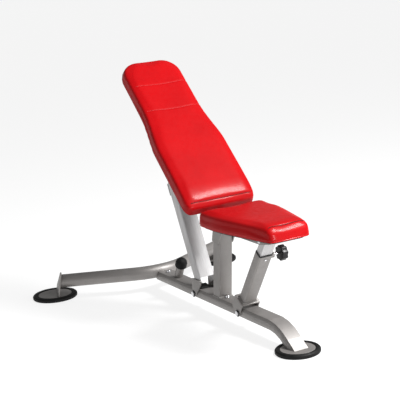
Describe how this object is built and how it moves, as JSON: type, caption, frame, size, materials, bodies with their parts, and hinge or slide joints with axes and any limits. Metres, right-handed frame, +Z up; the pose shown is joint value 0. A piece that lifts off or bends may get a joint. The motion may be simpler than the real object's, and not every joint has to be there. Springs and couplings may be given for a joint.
{
  "type": "adjustable weight bench",
  "caption": "Adjustable incline weight bench with hinged backrest and seat pads on telescoping stays over a three-footed tube frame.",
  "frame": {"origin": "on the floor under the middle of the footprint", "axes": "+X towards the seat end and front foot, +Y to the left of someone sitting on the bench, +Z up"},
  "size_m": [1.477, 0.98, 0.9792],
  "materials": {
    "frame_paint": "satin metallic silver-grey",
    "bright_steel": "smooth bright",
    "chrome": "polished",
    "rubber": "matte",
    "plastic": "satin",
    "pad_leather": "semi-gloss grained vinyl leather",
    "board": "dark covered board"
  },
  "bodies": {
    "frame": {"main_tube": "frame_paint", "rear_tube": "frame_paint", "post_tube": "frame_paint", "front_foot_ring": "rubber", "front_foot_plate": "frame_paint", "rear_foot_ring_l": "rubber", "rear_foot_ring_r": "rubber", "rear_foot_plate_l": "frame_paint", "rear_foot_plate_r": "frame_paint", "leg_gusset_l": "frame_paint", "leg_gusset_r": "frame_paint", "bumper_stub": "frame_paint", "bumper_cap": "rubber", "rest_pad": "rubber", "tube_bolt_rear": "chrome", "tube_bolt_front": "chrome", "hinge_plate_l": "frame_paint", "hinge_plate_r": "frame_paint", "backrest_hinge_pin": "chrome", "seat_hinge_pin": "chrome", "prop_pivot_bolt": "chrome", "strut_pivot_bolt": "chrome"},
    "prop": {"prop_channel": "bright_steel", "prop_ear_l": "frame_paint", "prop_ear_r": "frame_paint", "prop_strap": "bright_steel", "prop_guide_l": "plastic", "prop_guide_r": "plastic", "prop_pin_barrel": "frame_paint"},
    "prop_slide": {"prop_inner": "bright_steel", "prop_top_pin": "chrome"},
    "prop_pin": {"prop_pin_plunger": "chrome", "prop_pin_knob": "plastic"},
    "backrest": {"backrest_pad": "pad_leather", "backrest_board": "board", "backrest_rail": "frame_paint", "backrest_barrel": "frame_paint", "backrest_lug_l": "frame_paint", "backrest_lug_r": "frame_paint", "backrest_tab_low_l": "frame_paint", "backrest_tab_low_r": "frame_paint", "backrest_tab_high_l": "frame_paint", "backrest_tab_high_r": "frame_paint"},
    "seat": {"seat_pad": "pad_leather", "seat_board": "board", "seat_bar_l": "frame_paint", "seat_bar_r": "frame_paint", "seat_spacer_rear": "frame_paint", "seat_spacer_front": "frame_paint"},
    "strut": {"strut_sleeve": "frame_paint", "strut_liner": "plastic", "strut_top_plate": "frame_paint", "strut_ear_l": "frame_paint", "strut_ear_r": "frame_paint", "strut_screw": "chrome", "strut_pin_barrel": "frame_paint"},
    "strut_slide": {"strut_inner": "bright_steel", "strut_top_pin": "chrome"},
    "strut_pin": {"strut_pin_plunger": "chrome", "strut_pin_knob": "plastic"}
  },
  "joints": [
    {"name": "backrest_tilt", "type": "hinge", "parent": "frame", "child": "backrest", "pos_m": [0.2, 0, 0.389], "axis": [0, 1, 0], "range_deg": [-43, 6]},
    {"name": "prop_swing", "type": "hinge", "parent": "frame", "child": "prop", "pos_m": [-0.025, 0, 0.071], "axis": [0, 1, 0], "range_deg": [-36, 5.2]},
    {"name": "prop_extend", "type": "slide", "parent": "prop", "child": "prop_slide", "axis": [-0.3987, 0, 0.9171], "range_m": [-0.2705, 0.0382]},
    {"name": "prop_pin_pull", "type": "slide", "parent": "prop", "child": "prop_pin", "axis": [-0.9171, 0, -0.3987], "range_m": [0, 0.012], "stiffness_N_per_m": 400},
    {"name": "seat_tilt", "type": "hinge", "parent": "frame", "child": "seat", "pos_m": [0.238, 0, 0.384], "axis": [0, -1, 0], "range_deg": [0, 15]},
    {"name": "strut_swing", "type": "hinge", "parent": "frame", "child": "strut", "pos_m": [0.322, 0, 0.071], "axis": [0, -1, 0], "range_deg": [0, 6.9]},
    {"name": "strut_extend", "type": "slide", "parent": "strut", "child": "strut_slide", "axis": [0.5892, 0, 0.808], "range_m": [0, 0.0612]},
    {"name": "seat_pin_pull", "type": "slide", "parent": "strut", "child": "strut_pin", "axis": [0, 1, 0], "range_m": [0, 0.012], "stiffness_N_per_m": 400}
  ],
  "couplings": [
    {"joint": "prop_swing", "follows": "backrest_tilt", "ratio": 0.8309},
    {"joint": "prop_extend", "follows": "backrest_tilt", "m_per_rad": 0.35913},
    {"joint": "strut_swing", "follows": "seat_tilt", "ratio": 0.45413},
    {"joint": "strut_extend", "follows": "seat_tilt", "m_per_rad": 0.23201}
  ]
}
